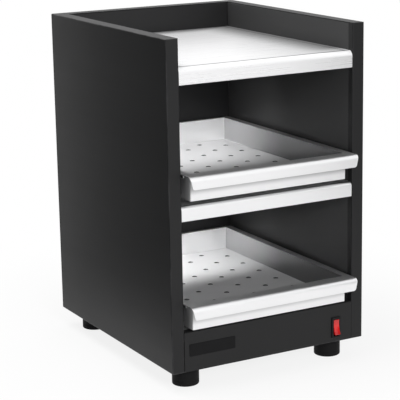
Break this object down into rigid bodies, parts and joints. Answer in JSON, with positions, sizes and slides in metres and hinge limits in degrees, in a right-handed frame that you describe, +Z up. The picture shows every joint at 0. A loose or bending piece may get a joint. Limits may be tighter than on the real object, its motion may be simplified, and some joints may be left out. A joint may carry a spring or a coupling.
{
  "type": "cup warmer cabinet",
  "caption": "Counter-top cup warmer: open double-skinned cabinet with a heated gallery top, a heated middle shelf, and perforated pull-out drawers on telescopic slides.",
  "frame": {"origin": "centre of the bounding box at the level that the feet stand on, with the drawers closed", "axes": "+Z up, -Y towards the open front with the drawers, +X to the right as seen from the front"},
  "size_m": [0.328, 0.405, 0.511],
  "materials": {
    "black_powder_coat": "fine textured black powder coat",
    "stainless": "fine brushed stainless sheet",
    "stainless_dull": "dull mill finish stainless sheet",
    "plate_black": "glossy bare black plate",
    "switch_black": "satin black moulding",
    "rocker_red": "translucent red, lit from inside when on",
    "rubber": "matte black moulded rubber",
    "zinc_steel": "bright zinc plated steel",
    "slide_black": "satin black coated steel slide",
    "heater_sheath": "heat-tinted steel tube",
    "limiter": "plain aluminium cap",
    "brass": "plain brass",
    "terminal_white": "off-white moulding",
    "loom_sleeve": "glass-fibre sleeve"
  },
  "bodies": {
    "root": {"back_inner_panel": "black_powder_coat", "back_outer_panel": "black_powder_coat", "base_deck": "stainless_dull", "base_fascia": "black_powder_coat", "base_heater": "heater_sheath", "base_heater_clamps": "zinc_steel", "base_limiter": "limiter", "base_pan": "black_powder_coat", "blank_plate": "plate_black", "cover_screws": "zinc_steel", "foot_front_left": "rubber", "foot_front_right": "rubber", "foot_nuts": "zinc_steel", "foot_rear_left": "rubber", "foot_rear_right": "rubber", "foot_screws": "zinc_steel", "inlet_pins": "brass", "inlet_screws": "zinc_steel", "left_inner_panel": "black_powder_coat", "left_outer_panel": "black_powder_coat", "lower_left_cabinet_member": "slide_black", "lower_right_cabinet_member": "slide_black", "mains_inlet": "switch_black", "middle_heater": "heater_sheath", "middle_heater_clamps": "zinc_steel", "middle_limiter": "limiter", "middle_shelf": "stainless", "middle_shelf_cover": "stainless_dull", "right_inner_panel": "black_powder_coat", "right_outer_panel": "black_powder_coat", "slide_screws": "zinc_steel", "switch_housing": "switch_black", "switch_tabs": "brass", "terminal_block": "terminal_white", "top_heater": "heater_sheath", "top_heater_clamps": "zinc_steel", "top_limiter": "limiter", "top_tray": "stainless", "top_tray_cover": "stainless_dull", "upper_left_cabinet_member": "slide_black", "upper_right_cabinet_member": "slide_black", "wiring_loom": "loom_sleeve"},
    "lower_drawer": {"lower_drawer_frame": "stainless", "lower_drawer_tray": "stainless", "lower_left_drawer_member": "slide_black", "lower_right_drawer_member": "slide_black"},
    "lower_runners": {"lower_left_middle_member": "slide_black", "lower_right_middle_member": "slide_black"},
    "rocker": {"rocker": "rocker_red"},
    "upper_drawer": {"upper_drawer_frame": "stainless", "upper_drawer_tray": "stainless", "upper_left_drawer_member": "slide_black", "upper_right_drawer_member": "slide_black"},
    "upper_runners": {"upper_left_middle_member": "slide_black", "upper_right_middle_member": "slide_black"}
  },
  "joints": [
    {"name": "upper_drawer_slide", "type": "slide", "parent": "root", "child": "upper_drawer", "axis": [0, -1, 0], "range_m": [0, 0.3]},
    {"name": "upper_runner_slide", "type": "slide", "parent": "root", "child": "upper_runners", "axis": [0, -1, 0], "range_m": [0, 0.15]},
    {"name": "lower_drawer_slide", "type": "slide", "parent": "root", "child": "lower_drawer", "axis": [0, -1, 0], "range_m": [0, 0.3]},
    {"name": "lower_runner_slide", "type": "slide", "parent": "root", "child": "lower_runners", "axis": [0, -1, 0], "range_m": [0, 0.15]},
    {"name": "rocker_hinge", "type": "hinge", "parent": "root", "child": "rocker", "pos_m": [0.116, -0.17778, 0.0525], "axis": [1, 0, 0], "range_deg": [0, 20]}
  ],
  "couplings": [
    {"joint": "upper_runner_slide", "follows": "upper_drawer_slide", "ratio": 0.5},
    {"joint": "lower_runner_slide", "follows": "lower_drawer_slide", "ratio": 0.5}
  ]
}
